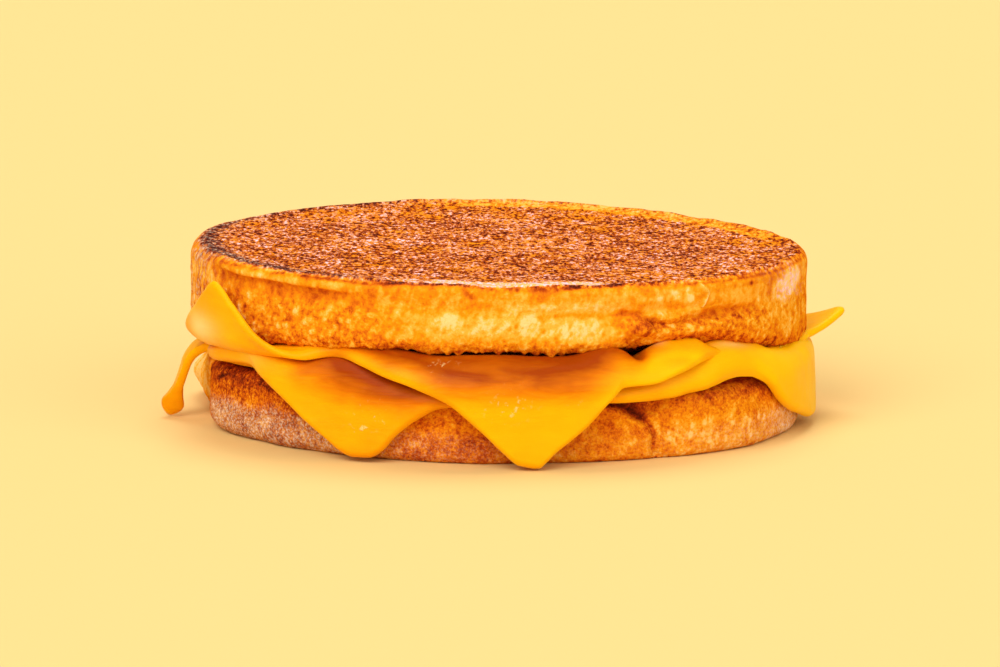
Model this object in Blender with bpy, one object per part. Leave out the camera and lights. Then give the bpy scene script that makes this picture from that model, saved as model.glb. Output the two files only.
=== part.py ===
"""Grilled cheese sandwich: two toasted slices of bread with two melted slices of cheese between them.

Sizes are metres and angles degrees. +Z is up, the origin is the middle of the bottom slice's flat
underside, and -Y is the front, where both cheese slices hang out. An azimuth turns from +X towards +Y.

Every layer is a round body made from a sphere. The sphere's longitudes become azimuths round the
sandwich, and its latitudes run from the middle of the underside (-1) over the edge (0) to the
middle of the top (1).
"""

import math
from dataclasses import dataclass

import bmesh
import bpy

MM = 0.001
GAP = 0.3 * MM

# Bread: two oval slices of a round loaf
BOTTOM_HALF_WIDTH = 54.4 * MM
BOTTOM_HALF_DEPTH = 49.2 * MM
BOTTOM_THICKNESS = 11.8 * MM
TOP_HALF_WIDTH = 56.6 * MM
TOP_HALF_DEPTH = 50.2 * MM
TOP_CENTRE_X = -0.9 * MM
TOP_THICKNESS = 14.6 * MM
TOP_UNDERSIDE_TILT = -0.006
TOP_THINNING = -0.014
TOP_UNDERSIDE_SAG = 1.2 * MM
FACE_DISH = 0.9 * MM
BREAD_COLUMNS = 80
BREAD_ROWS = 16

# Cheese: two square slices of 89 mm, 2.3 mm thick once melted
CHEESE_THICKNESS = 2.3 * MM
CHEESE_BEND = 2.6 * MM
DRIP_BEND = 5.2 * MM
CHEESE_COLUMNS = 84
CHEESE_ROWS = 16

# Heights at which the layers lie in the middle of the sandwich
LOWER_CHEESE_LEVEL = BOTTOM_THICKNESS + GAP + CHEESE_THICKNESS / 2
UPPER_CHEESE_LEVEL = LOWER_CHEESE_LEVEL + GAP + CHEESE_THICKNESS
SECOND_LAYER = CHEESE_THICKNESS + 2 * GAP
TOP_UNDERSIDE = UPPER_CHEESE_LEVEL + CHEESE_THICKNESS / 2 + GAP

# Shares of the way from a layer's edge to its middle at which its parts begin
WALL_SHARE = 0.26
RIM_SHARE = 0.63
CHEESE_RIM_SHARE = 0.25
HANG_SHARE = 0.75


def turn(azimuth, centre):
    """Signed angle from centre to azimuth, between -180 and 180 degrees."""
    return (azimuth - centre + 180.0) % 360.0 - 180.0


def smooth(value):
    """Smooth step from 0 at 0 to 1 at 1."""
    value = min(max(value, 0.0), 1.0)
    return value * value * (3.0 - 2.0 * value)


def share_between(value, start, end):
    """How far value is on its way from start to end, between 0 and 1."""
    return min(max((value - start) / (end - start), 0.0), 1.0)


def around(azimuth, stations):
    """Blend smoothly between (azimuth, value) stations set round the sandwich in rising order."""
    azimuth %= 360.0
    before = (stations[-1][0] - 360.0, stations[-1][1])
    after = (stations[0][0] + 360.0, stations[0][1])
    ring = [before, *stations, after]
    for (start, low), (end, high) in zip(ring, ring[1:]):
        if start <= azimuth <= end:
            return low + (high - low) * smooth((azimuth - start) / (end - start))
    return stations[0][1]


@dataclass(frozen=True)
class Bump:
    """A swelling of a slice's side, or a dent where the push is negative."""

    azimuth: float
    height: float
    half_angle: float
    half_height: float
    push: float

    def at(self, azimuth, height):
        """How far the side is pushed out at an azimuth and a share of the slice's height."""
        across = turn(azimuth, self.azimuth) / self.half_angle
        upward = (height - self.height) / self.half_height
        return self.push * math.exp(-(across * across) - upward * upward)


@dataclass(frozen=True)
class Bread:
    """A slice of bread: an oval slab with rounded rims, a dished face and uneven sides."""

    half_width: float
    half_depth: float
    centre_x: float
    base: float
    base_tilt: float
    base_sag: float
    thickness: float
    thinning: float
    dish: float
    fullness: tuple
    lower_rim: tuple
    upper_rim: tuple
    crown: tuple
    bumps: tuple

    def outline(self, azimuth):
        """Distance from the middle of the slice to its edge."""
        power = around(azimuth, self.fullness)
        angle = math.radians(azimuth)
        across = abs(math.cos(angle) / self.half_width) ** power
        along = abs(math.sin(angle) / self.half_depth) ** power
        return (across + along) ** (-1.0 / power)

    def point(self, azimuth, way):
        """Place on the slice's surface at an azimuth and a way from underside (-1) to face (1)."""
        share = abs(way)
        rim = around(azimuth, self.upper_rim if way > 0.0 else self.lower_rim)
        wall = share_between(share, 0.0, WALL_SHARE)
        bend = share_between(share, WALL_SHARE, RIM_SHARE) * math.pi / 2
        inward = share_between(share, RIM_SHARE, 1.0)
        half = self.thickness / 2
        rise = math.copysign((half - rim) * wall + rim * math.sin(bend), way)
        height = 0.5 + rise / self.thickness
        edge = self.outline(azimuth) + sum(bump.at(azimuth, height) for bump in self.bumps)
        radius = (edge - rim * (1.0 - math.cos(bend))) * (1.0 - inward)
        x = self.centre_x + radius * math.cos(math.radians(azimuth))
        y = radius * math.sin(math.radians(azimuth))
        middle = 1.0 - (radius / edge) ** 4
        underside = self.base + self.base_tilt * x - self.base_sag * middle * (1.0 - height)
        crown = around(azimuth, self.crown) * (radius / edge) ** 8
        full = self.thickness + self.thinning * x + crown - self.dish * middle
        return x, y, underside + full * height


@dataclass(frozen=True)
class Corner:
    """A corner of a cheese slice that runs past the bread's edge and ends in a tip."""

    azimuth: float
    tip_run: float
    spread_back: float
    spread_fore: float
    bead: float = 0.0

    def share(self, azimuth):
        """1 at the tip, falling nearly straight to 0 at the corner's two feet."""
        gap = turn(azimuth, self.azimuth)
        reach = abs(gap) / (self.spread_fore if gap > 0.0 else self.spread_back)
        blunt = 0.12
        slope = (math.hypot(reach, blunt) - blunt) / (math.hypot(1.0, blunt) - blunt)
        left = max(1.0 - slope, 0.0)
        foot = 0.22
        return (1.0 + foot) * left * left / (left + foot)


@dataclass(frozen=True)
class Cheese:
    """A slice of cheese that lies flat and bends down, or up, where it passes the bread's edge."""

    support: Bread
    level: float
    stand_off: tuple
    run: tuple
    hang: tuple
    bend: tuple
    lift: tuple
    corners: tuple

    def drape(self, azimuth, past, offset):
        """Bend a point of the flat slice over the bread's edge.

        past is how far the point lies beyond the start of the bend, or short of it where it is
        negative, and offset is its height above the middle of the slice's thickness.
        """
        bend = around(azimuth, self.bend)
        edge = self.edge(azimuth)
        hang = math.radians(around(azimuth, self.hang))
        beyond = max(past, 0.0)
        angle = min(beyond / bend, abs(hang))
        straight = beyond - angle * bend
        way = math.copysign(1.0, hang)
        radius = edge + min(past, 0.0) + bend * math.sin(angle) + straight * math.cos(angle)
        radius += way * offset * math.sin(angle)
        drop = bend * (1.0 - math.cos(angle)) + straight * math.sin(angle)
        lift = around(azimuth, self.lift) * smooth(1.0 + past / (0.24 * edge))
        height = self.level + lift - way * drop + offset * math.cos(angle)
        direction = math.radians(azimuth)
        return radius * math.cos(direction), radius * math.sin(direction), height

    def edge(self, azimuth):
        """Distance from the middle at which the slice starts to bend."""
        half = CHEESE_THICKNESS / 2
        return self.support.outline(azimuth) + around(azimuth, self.stand_off) + half - CHEESE_BEND

    def point(self, azimuth, way):
        """Place on the slice's surface at an azimuth and a way from underside (-1) to top (1)."""
        run = around(azimuth, self.run)
        bead = 1.0
        for corner in self.corners:
            share = corner.share(azimuth)
            run += (corner.tip_run - run) * share
            bead += corner.bead * share * share
        half = CHEESE_THICKNESS / 2
        rounding = share_between(abs(way), 0.0, CHEESE_RIM_SHARE) * math.pi / 2
        hanging = share_between(abs(way), CHEESE_RIM_SHARE, HANG_SHARE)
        inward = share_between(abs(way), HANG_SHARE, 1.0)
        past = run - half * (1.0 - math.cos(rounding))
        past -= (run - half + CHEESE_BEND) * hanging
        past -= (self.edge(azimuth) - CHEESE_BEND) * inward
        swell = 1.0 + (bead - 1.0) * math.exp((past - run) / (2.0 * CHEESE_THICKNESS))
        return self.drape(azimuth, past, math.copysign(half * swell * math.sin(rounding), way))


BOTTOM_BREAD = Bread(
    half_width=BOTTOM_HALF_WIDTH,
    half_depth=BOTTOM_HALF_DEPTH,
    centre_x=0.0,
    base=0.0,
    base_tilt=0.0,
    base_sag=0.0,
    thickness=BOTTOM_THICKNESS,
    thinning=0.0,
    dish=0.0,
    fullness=((45.0, 2.1), (150.0, 2.5), (225.0, 2.0), (270.0, 2.0), (322.0, 2.35)),
    lower_rim=((0.0, 1.6 * MM), (180.0, 2.4 * MM), (225.0, 2.4 * MM), (270.0, 1.6 * MM)),
    upper_rim=((0.0, 2.4 * MM), (180.0, 2.4 * MM)),
    crown=((180.0, 0.4 * MM), (215.0, 1.2 * MM), (255.0, 0.0), (360.0, 0.0)),
    bumps=(
        Bump(163.0, 0.20, 10.0, 0.34, 4.6 * MM),
        Bump(148.0, 0.26, 17.0, 0.40, 1.6 * MM),
        Bump(184.0, 0.40, 5.5, 0.45, -1.8 * MM),
        Bump(201.0, 0.35, 9.0, 0.35, 1.0 * MM),
        Bump(301.0, 0.76, 4.5, 0.24, -1.7 * MM),
        Bump(305.0, 0.36, 3.5, 0.24, -0.9 * MM),
        Bump(322.0, 0.42, 11.0, 0.32, 0.6 * MM),
        Bump(228.0, 0.60, 4.5, 0.30, -0.5 * MM),
    ),
)

TOP_BREAD = Bread(
    half_width=TOP_HALF_WIDTH,
    half_depth=TOP_HALF_DEPTH,
    centre_x=TOP_CENTRE_X,
    base=TOP_UNDERSIDE + TOP_UNDERSIDE_SAG,
    base_tilt=TOP_UNDERSIDE_TILT,
    base_sag=TOP_UNDERSIDE_SAG,
    thickness=TOP_THICKNESS - TOP_UNDERSIDE_SAG,
    thinning=TOP_THINNING,
    dish=FACE_DISH,
    fullness=((45.0, 1.75), (135.0, 1.85), (225.0, 2.1), (315.0, 2.0)),
    lower_rim=((0.0, 2.2 * MM), (180.0, 2.2 * MM)),
    upper_rim=((0.0, 2.0 * MM), (90.0, 1.5 * MM), (180.0, 3.2 * MM), (240.0, 1.4 * MM)),
    crown=((0.0, 0.0), (180.0, 0.0)),
    bumps=(
        Bump(315.0, 0.28, 20.0, 0.22, 0.9 * MM),
        Bump(308.0, 0.62, 26.0, 0.10, -0.8 * MM),
        Bump(235.0, 0.70, 30.0, 0.12, -0.7 * MM),
        Bump(299.0, 0.36, 5.0, 0.20, 0.8 * MM),
    ),
)

LOWER_CHEESE = Cheese(
    support=BOTTOM_BREAD,
    level=LOWER_CHEESE_LEVEL,
    stand_off=((0.0, GAP), (180.0, GAP)),
    run=((20.0, 1.5 * MM), (110.0, 1.5 * MM), (212.0, 1.6 * MM), (270.0, 2.0 * MM), (315.0, 3.9 * MM)),
    hang=((30.0, 86.0), (160.0, 80.0), (184.0, 72.0), (205.0, 80.0), (300.0, 88.0)),
    bend=((30.0, CHEESE_BEND), (160.0, CHEESE_BEND), (184.0, DRIP_BEND), (208.0, CHEESE_BEND)),
    lift=((150.0, 0.0), (180.0, 0.5 * MM), (215.0, 1.2 * MM), (255.0, 0.0)),
    corners=(
        Corner(66.0, 14.0 * MM, 19.0, 19.0),
        Corner(184.0, 16.6 * MM, 8.0, 8.0, bead=0.8),
        Corner(241.5, 14.4 * MM, 19.0, 22.0),
        Corner(347.5, 13.8 * MM, 24.0, 17.0),
    ),
)

UPPER_CHEESE = Cheese(
    support=BOTTOM_BREAD,
    level=UPPER_CHEESE_LEVEL,
    stand_off=((0.0, SECOND_LAYER), (187.0, 2.4 * MM), (209.0, 3.9 * MM), (245.0, SECOND_LAYER)),
    run=((20.0, 1.0 * MM), (110.0, 1.0 * MM), (234.0, 1.4 * MM), (305.0, 1.5 * MM), (330.0, 2.0 * MM)),
    hang=((3.0, -26.0), (60.0, 40.0), (120.0, 40.0), (178.0, -80.0), (214.0, -88.0), (234.0, 15.0),
          (262.0, 85.0), (300.0, 85.0), (335.0, 45.0)),
    bend=((0.0, CHEESE_BEND), (180.0, CHEESE_BEND)),
    lift=((0.0, 0.0), (160.0, 0.3 * MM), (205.0, 1.5 * MM), (238.0, 1.5 * MM), (265.0, 0.0)),
    corners=(
        Corner(3.0, 7.6 * MM, 12.5, 11.0),
        Corner(97.0, 6.0 * MM, 20.0, 20.0),
        Corner(209.0, 15.0 * MM, 20.0, 20.0),
        Corner(276.5, 17.3 * MM, 30.0, 19.0),
    ),
)


def make_material(name, colour, roughness):
    """Plain material with a part's colour and roughness."""
    material = bpy.data.materials.new(name)
    material.use_nodes = True
    shader = material.node_tree.nodes["Principled BSDF"]
    shader.inputs["Base Color"].default_value = (*colour, 1.0)
    shader.inputs["Roughness"].default_value = roughness
    shader.inputs["Metallic"].default_value = 0.0
    return material


def make_layer(name, layer, columns, rows, material, collection):
    """Shape a sphere into one layer of the sandwich."""
    shape = bmesh.new()
    bmesh.ops.create_uvsphere(shape, u_segments=columns, v_segments=rows, radius=1.0)
    for vertex in shape.verts:
        azimuth = math.degrees(math.atan2(vertex.co.y, vertex.co.x))
        latitude = math.asin(min(max(vertex.co.z, -1.0), 1.0))
        vertex.co = layer.point(azimuth, latitude / (math.pi / 2))
    bmesh.ops.triangulate(shape, faces=shape.faces, quad_method="SHORT_EDGE")
    mesh = bpy.data.meshes.new(name)
    shape.to_mesh(mesh)
    shape.free()
    mesh.shade_smooth()
    mesh.materials.append(material)
    piece = bpy.data.objects.new(name, mesh)
    collection.objects.link(piece)
    return piece


def main():
    """Build the sandwich from the bottom slice of bread upwards."""
    for old in list(bpy.data.objects):
        bpy.data.objects.remove(old, do_unlink=True)
    sandwich = bpy.data.collections.new("grilled_cheese_sandwich")
    bpy.context.scene.collection.children.link(sandwich)

    crumb = make_material("bread_crumb", (0.83, 0.50, 0.18), 0.8)
    toast = make_material("toasted_bread", (0.72, 0.33, 0.10), 0.7)
    shaded = make_material("cheese_underneath", (0.93, 0.44, 0.02), 0.35)
    bright = make_material("cheese_on_top", (0.98, 0.52, 0.02), 0.3)

    make_layer("bottom_bread", BOTTOM_BREAD, BREAD_COLUMNS, BREAD_ROWS, crumb, sandwich)
    make_layer("cheese_lower", LOWER_CHEESE, CHEESE_COLUMNS, CHEESE_ROWS, shaded, sandwich)
    make_layer("cheese_upper", UPPER_CHEESE, CHEESE_COLUMNS, CHEESE_ROWS, bright, sandwich)
    make_layer("top_bread", TOP_BREAD, BREAD_COLUMNS, BREAD_ROWS, toast, sandwich)


main()
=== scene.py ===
"""Looks of a grilled cheese sandwich: two toasted slices of bread and two melted slices of cheese.

Lengths are metres and angles degrees. +Z is up and -Y is the front. An azimuth turns from +X
towards +Y, and a height is a share of a slice's thickness, from 0 underneath to 1 on its face.
"""

from __future__ import annotations

import logging
import math
from dataclasses import dataclass, field
from enum import Enum
from typing import Any, ClassVar

import bmesh
import bpy
import numpy as np
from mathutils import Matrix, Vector


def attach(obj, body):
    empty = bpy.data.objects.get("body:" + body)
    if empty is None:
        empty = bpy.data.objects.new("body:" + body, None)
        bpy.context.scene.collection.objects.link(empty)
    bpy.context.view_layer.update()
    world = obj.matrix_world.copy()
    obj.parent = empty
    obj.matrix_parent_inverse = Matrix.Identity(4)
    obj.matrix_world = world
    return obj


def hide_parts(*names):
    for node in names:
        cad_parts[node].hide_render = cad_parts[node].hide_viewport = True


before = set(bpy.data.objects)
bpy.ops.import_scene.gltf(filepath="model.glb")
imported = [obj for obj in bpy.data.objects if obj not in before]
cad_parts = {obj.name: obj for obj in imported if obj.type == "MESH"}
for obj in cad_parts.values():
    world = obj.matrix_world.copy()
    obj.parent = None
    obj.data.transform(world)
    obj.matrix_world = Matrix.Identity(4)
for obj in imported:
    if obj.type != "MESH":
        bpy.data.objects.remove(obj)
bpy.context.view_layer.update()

LOG = logging.getLogger("grilled_cheese_sandwich")
Field = np.ndarray
Span = tuple[float, float]
Stations = tuple[Span, ...]
Colour = tuple[float, float, float]

MM = 0.001
GAP = 0.3 * MM
BODY = "root"


# ---- numbers over a surface


def turn(azimuth: Field, centre: float) -> Field:
    """Signed angle from centre to each azimuth, between -180 and 180 degrees."""
    return (azimuth - centre + 180.0) % 360.0 - 180.0


def share_between(value: Field, start: float, end: float) -> Field:
    """How far each value is on its way from start to end, between 0 and 1."""
    return np.clip((value - start) / (end - start), 0.0, 1.0)


def smooth(value: Field) -> Field:
    """Smooth step from 0 at 0 to 1 at 1."""
    share = np.clip(value, 0.0, 1.0)
    return share * share * (3.0 - 2.0 * share)


def ease(value: Field, start: float, end: float) -> Field:
    """Smooth step from 0 at start to 1 at end."""
    return smooth((value - start) / (end - start))


def bell(value: Field, half_width: float) -> Field:
    """Bell curve of height 1 round 0."""
    return np.exp(-((value / half_width) ** 2))


def blend(first: Field | float, second: Field | float, share: Field) -> Field:
    """Pass from the first value to the second as the share grows from 0 to 1."""
    return first * (1.0 - share) + second * share


def in_mm(*stations: Span) -> Stations:
    """Stations whose values are given in millimetres."""
    return tuple((azimuth, value * MM) for azimuth, value in stations)


def around(azimuth: Field, stations: Stations) -> Field:
    """Blend smoothly between (azimuth, value) stations set round the sandwich in rising order.

    Args:
        azimuth: The azimuths at which the blend is wanted.
        stations: The azimuths and values that the blend passes through.

    Returns:
        The blended value at each azimuth.
    """
    ring = ((stations[-1][0] - 360.0, stations[-1][1]), *stations, (stations[0][0] + 360.0, stations[0][1]))
    places = np.array([place for place, _ in ring])
    values = np.array([value for _, value in ring])
    turned = azimuth % 360.0
    before = np.clip(np.searchsorted(places, turned, side="right") - 1, 0, len(ring) - 2)
    share = smooth((turned - places[before]) / (places[before + 1] - places[before]))
    return values[before] + (values[before + 1] - values[before]) * share


def follow(azimuth: Field, stations: Stations) -> Field:
    """Join (azimuth, value) stations set round the sandwich by a curve that never overshoots them.

    Args:
        azimuth: The azimuths at which the curve is wanted.
        stations: The azimuths and values that the curve passes through, in rising order.

    Returns:
        The curve's value at each azimuth.
    """
    ring = [(place + lap, value) for lap in (-360.0, 0.0, 360.0) for place, value in stations]
    places, values = np.array(ring).T
    gaps = np.diff(places)
    slopes = np.diff(values) / gaps
    before, after = slopes[:-1], slopes[1:]
    first, second = 2.0 * gaps[1:] + gaps[:-1], gaps[1:] + 2.0 * gaps[:-1]
    rising = before * after > 0.0
    safe = np.where(rising, before, 1.0), np.where(rising, after, 1.0)
    inner = np.where(rising, (first + second) / (first / safe[0] + second / safe[1]), 0.0)
    slant = np.concatenate((slopes[:1], inner, slopes[-1:]))
    turned = azimuth % 360.0
    cell = np.clip(np.searchsorted(places, turned, side="right") - 1, 0, len(gaps) - 1)
    share = (turned - places[cell]) / gaps[cell]
    rest = 1.0 - share
    ends = values[cell] * rest * rest * (1.0 + 2.0 * share) + values[cell + 1] * share * share * (3.0 - 2.0 * share)
    return ends + gaps[cell] * share * rest * (slant[cell] * rest - slant[cell + 1] * share)


@dataclass(frozen=True)
class Grain:
    """Random patterns in space that come out the same on every run."""

    seed: int
    DIRECTIONS: ClassVar[Field] = np.array(
        [(x, y, z) for x in (-1, 0, 1) for y in (-1, 0, 1) for z in (-1, 0, 1) if abs(x) + abs(y) + abs(z) == 2],
        float,
    )
    GAIN: ClassVar[float] = 1.3
    LAYER_STEP: ClassVar[int] = 17

    def scramble(self, cell: Field, salt: int = 0) -> Field:
        """Random whole number for each cell of a lattice.

        Args:
            cell: Whole-number places, three in a row.
            salt: Number that sets one draw apart from another.

        Returns:
            A whole number of 32 bits for each place.
        """
        x, y, z = (cell[..., axis].astype(np.int64).astype(np.uint32) for axis in range(3))
        mixed = x * np.uint32(374761393) + y * np.uint32(668265263) + z * np.uint32(2246822519)
        mixed = mixed + np.array([self.seed * 3266489917 + salt * 2654435761], np.uint64).astype(np.uint32)
        mixed = (mixed ^ (mixed >> np.uint32(15))) * np.uint32(2246822519)
        mixed = (mixed ^ (mixed >> np.uint32(13))) * np.uint32(3266489917)
        return mixed ^ (mixed >> np.uint32(16))

    def chance(self, cell: Field, salt: int = 0) -> Field:
        """Random number between 0 and 1 for each cell of a lattice."""
        return self.scramble(cell, salt).astype(float) / np.iinfo(np.uint32).max

    def wave(self, place: Field, size: float) -> Field:
        """Smooth random waves about one size long, between about -1 and 1.

        Args:
            place: Points in space.
            size: Length of a wave.

        Returns:
            The waves' height at each point.
        """
        scaled = place / size
        cell = np.floor(scaled)
        inside = scaled - cell
        fade = inside * inside * inside * (inside * (inside * 6.0 - 15.0) + 10.0)
        total = np.zeros(len(place))
        for corner in np.ndindex(2, 2, 2):
            offset = np.array(corner, float)
            direction = self.DIRECTIONS[self.scramble(cell + offset) % len(self.DIRECTIONS)]
            slope = np.sum(direction * (inside - offset), axis=1)
            total += slope * np.prod(np.where(offset > 0.5, fade, 1.0 - fade), axis=1)
        return total * self.GAIN

    def waves(self, place: Field, size: float, layers: int, keep: float = 0.5) -> Field:
        """Random waves with finer waves laid over them.

        Args:
            place: Points in space.
            size: Length of the longest wave.
            layers: How many layers are laid over each other, each half as long as the last.
            keep: Height of each layer against the last.

        Returns:
            The waves' height at each point, between about -1 and 1.
        """
        total = np.zeros(len(place))
        height, heights = 1.0, 0.0
        for layer in range(layers):
            total += height * Grain(self.seed + self.LAYER_STEP * layer).wave(place, size / 2**layer)
            heights += height
            height *= keep
        return total / heights

    def specks(self, place: Field, size: float, edge: Span, picked: Span) -> Field:
        """Small round spots round some of many scattered points.

        Args:
            place: Points in space.
            size: Mean distance between the scattered points.
            edge: Where a spot starts and stops to fade, as shares of size.
            picked: Chances between which a scattered point starts to have a spot.

        Returns:
            How far each place belongs to a spot, from 0 to 1.
        """
        scaled = place / size
        cell = np.floor(scaled)
        nearest = np.full(len(place), 9.0)
        chance = np.zeros(len(place))
        for step in np.ndindex(3, 3, 3):
            other = cell + np.array(step, float) - 1.0
            centre = other + np.stack([self.chance(other, salt) for salt in (1, 2, 3)], axis=1)
            distance = np.linalg.norm(scaled - centre, axis=1)
            closer = distance < nearest
            nearest = np.where(closer, distance, nearest)
            chance = np.where(closer, self.chance(other, 4), chance)
        return (1.0 - ease(nearest, *edge)) * ease(chance, *picked)


@dataclass(frozen=True)
class Touch:
    """A soft round spot on a slice's side: a swelling, a dent, or a change of tone."""

    azimuth: float
    height: float
    half_angle: float
    half_height: float
    push: float

    def at(self, azimuth: Field, height: Field) -> Field:
        """How strong the spot is at each place on the side.

        Args:
            azimuth: Azimuth of each place.
            height: Height of each place as a share of the slice's thickness.

        Returns:
            The spot's push, fading with the distance from it.
        """
        across = turn(azimuth, self.azimuth) / self.half_angle
        upward = (height - self.height) / self.half_height
        return self.push * np.exp(-(across * across) - upward * upward)


@dataclass(frozen=True)
class Stroke:
    """A line on a slice's side: a ridge, a crease, a crack or a change of tone.

    Its half width is in millimetres, and its points are azimuths and heights.
    """

    points: tuple[Span, ...]
    half_width: float
    push: float
    RADIUS: ClassVar[float] = 54.0 * MM
    THICKNESS: ClassVar[float] = 13.0 * MM

    def at(self, azimuth: Field, height: Field) -> Field:
        """How strong the line is at each place on the side.

        Args:
            azimuth: Azimuth of each place.
            height: Height of each place as a share of the slice's thickness.

        Returns:
            The line's push, fading with the distance from it.
        """
        arc = math.radians(1.0) * self.RADIUS
        nearest = np.full(len(azimuth), 1.0)
        for (from_azimuth, from_height), (to_azimuth, to_height) in zip(self.points, self.points[1:]):
            across = turn(azimuth, from_azimuth) * arc
            upward = (height - from_height) * self.THICKNESS
            run = (to_azimuth - from_azimuth) * arc
            rise = (to_height - from_height) * self.THICKNESS
            along = np.clip((across * run + upward * rise) / (run * run + rise * rise), 0.0, 1.0)
            nearest = np.minimum(nearest, np.hypot(across - along * run, upward - along * rise))
        return self.push * bell(nearest, self.half_width * MM)


@dataclass(frozen=True)
class Ledge:
    """A long edge round a slice's side, with a cut under it."""

    line: Stations
    strength: Stations
    lip: float
    cut: float

    def parts(self, azimuth: Field, height: Field) -> tuple[Field, Field]:
        """How far each place belongs to the lip and to the cut under it.

        Args:
            azimuth: Azimuth of each place.
            height: Height of each place as a share of the slice's thickness.

        Returns:
            The share of the lip and the share of the cut, each from 0 to 1.
        """
        above = height - around(azimuth, self.line)
        strength = around(azimuth, self.strength)
        lip = ease(above, -0.02, 0.03) * (1.0 - ease(above, 0.04, 0.24))
        cut = (1.0 - ease(above, -0.035, 0.01)) * ease(above, -0.26, -0.04)
        return strength * lip, strength * cut

    def at(self, azimuth: Field, height: Field) -> Field:
        """How far the side is pushed out at each place."""
        lip, cut = self.parts(azimuth, height)
        return self.lip * lip - self.cut * cut


@dataclass(frozen=True)
class Puff:
    """A soft spot on a cheese slice: a swelling, a dent, or a change of tone.

    How far it lies past the bread's edge, and its half run, are in millimetres.
    """

    azimuth: float
    past: float
    half_angle: float
    half_run: float
    push: float

    def at(self, azimuth: Field, past: Field) -> Field:
        """How strong the spot is at each azimuth and run past the bread's edge."""
        along = bell(turn(azimuth, self.azimuth), self.half_angle)
        return self.push * along * bell(past - self.past * MM, self.half_run * MM)


Marks = tuple[Touch | Stroke | Puff, ...]


def together(marks: Marks, azimuth: Field, level: Field) -> Field:
    """Sum of several marks; the level is a height on bread, or a run past the edge on cheese."""
    return sum((mark.at(azimuth, level) for mark in marks), np.zeros(len(azimuth)))


# ---- shapes of the layers


@dataclass(frozen=True)
class Bread:
    """A slice of bread: an oval slab with rounded rims, a dished face and uneven sides."""

    half_width: float
    half_depth: float
    centre_x: float
    base: float
    base_tilt: float
    base_sag: float
    thickness: float
    thinning: float
    dish: float
    fullness: Stations
    lower_rim: Stations
    upper_rim: Stations
    crown: Stations
    bumps: tuple[Touch, ...]
    WALL_SHARE: ClassVar[float] = 0.26
    RIM_SHARE: ClassVar[float] = 0.63

    def outline(self, azimuth: Field) -> Field:
        """Distance from the middle of the slice to its edge.

        Args:
            azimuth: The azimuths at which it is wanted.

        Returns:
            The distance at each azimuth.
        """
        power = around(azimuth, self.fullness)
        angle = np.radians(azimuth)
        across = np.abs(np.cos(angle) / self.half_width) ** power
        along = np.abs(np.sin(angle) / self.half_depth) ** power
        return (across + along) ** (-1.0 / power)

    def surface(self, azimuth: Field, way: Field) -> tuple[Field, Field, Field]:
        """Places on the slice's surface.

        Args:
            azimuth: Azimuth of each place.
            way: Way of each place from the underside's middle (-1) over the edge (0) to the face's (1).

        Returns:
            The points, their heights as shares of the thickness, and their radii as shares of the edge's.
        """
        share = np.abs(way)
        rim = np.where(way > 0.0, around(azimuth, self.upper_rim), around(azimuth, self.lower_rim))
        wall = share_between(share, 0.0, self.WALL_SHARE)
        bend = share_between(share, self.WALL_SHARE, self.RIM_SHARE) * math.pi / 2
        inward = share_between(share, self.RIM_SHARE, 1.0)
        half = self.thickness / 2
        rise = np.copysign((half - rim) * wall + rim * np.sin(bend), way)
        height = 0.5 + rise / self.thickness
        edge = self.outline(azimuth) + sum(bump.at(azimuth, height) for bump in self.bumps)
        radius = (edge - rim * (1.0 - np.cos(bend))) * (1.0 - inward)
        x = self.centre_x + radius * np.cos(np.radians(azimuth))
        y = radius * np.sin(np.radians(azimuth))
        reach = radius / edge
        middle = 1.0 - reach**4
        underside = self.base + self.base_tilt * x - self.base_sag * middle * (1.0 - height)
        full = self.thickness + self.thinning * x + around(azimuth, self.crown) * reach**8 - self.dish * middle
        return np.stack([x, y, underside + full * height], axis=1), height, reach


@dataclass(frozen=True)
class Corner:
    """A corner of a cheese slice that runs past the bread's edge and ends in a tip."""

    azimuth: float
    tip_run: float
    spread_back: float
    spread_fore: float
    bead: float = 0.0
    BLUNT: ClassVar[float] = 0.12
    FOOT: ClassVar[float] = 0.22
    BEAD_ANGLE: ClassVar[float] = 6.0
    BEAD_SETBACK: ClassVar[float] = 2.2 * MM
    BEAD_RUN: ClassVar[float] = 1.9 * MM

    def share(self, azimuth: Field) -> Field:
        """How near the corner's tip each azimuth is.

        Args:
            azimuth: The azimuths at which it is wanted.

        Returns:
            1 at the tip, falling nearly straight to 0 at the corner's two feet.
        """
        gap = turn(azimuth, self.azimuth)
        reach = np.abs(gap) / np.where(gap > 0.0, self.spread_fore, self.spread_back)
        slope = (np.hypot(reach, self.BLUNT) - self.BLUNT) / (math.hypot(1.0, self.BLUNT) - self.BLUNT)
        left = np.maximum(1.0 - slope, 0.0)
        return (1.0 + self.FOOT) * left * left / (left + self.FOOT)

    def swelling(self, azimuth: Field, past: Field) -> Field:
        """How much the bead at the tip thickens the slice at each place."""
        along = bell(turn(azimuth, self.azimuth), self.BEAD_ANGLE)
        return self.bead * along * bell(past - self.tip_run + self.BEAD_SETBACK, self.BEAD_RUN)


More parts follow.
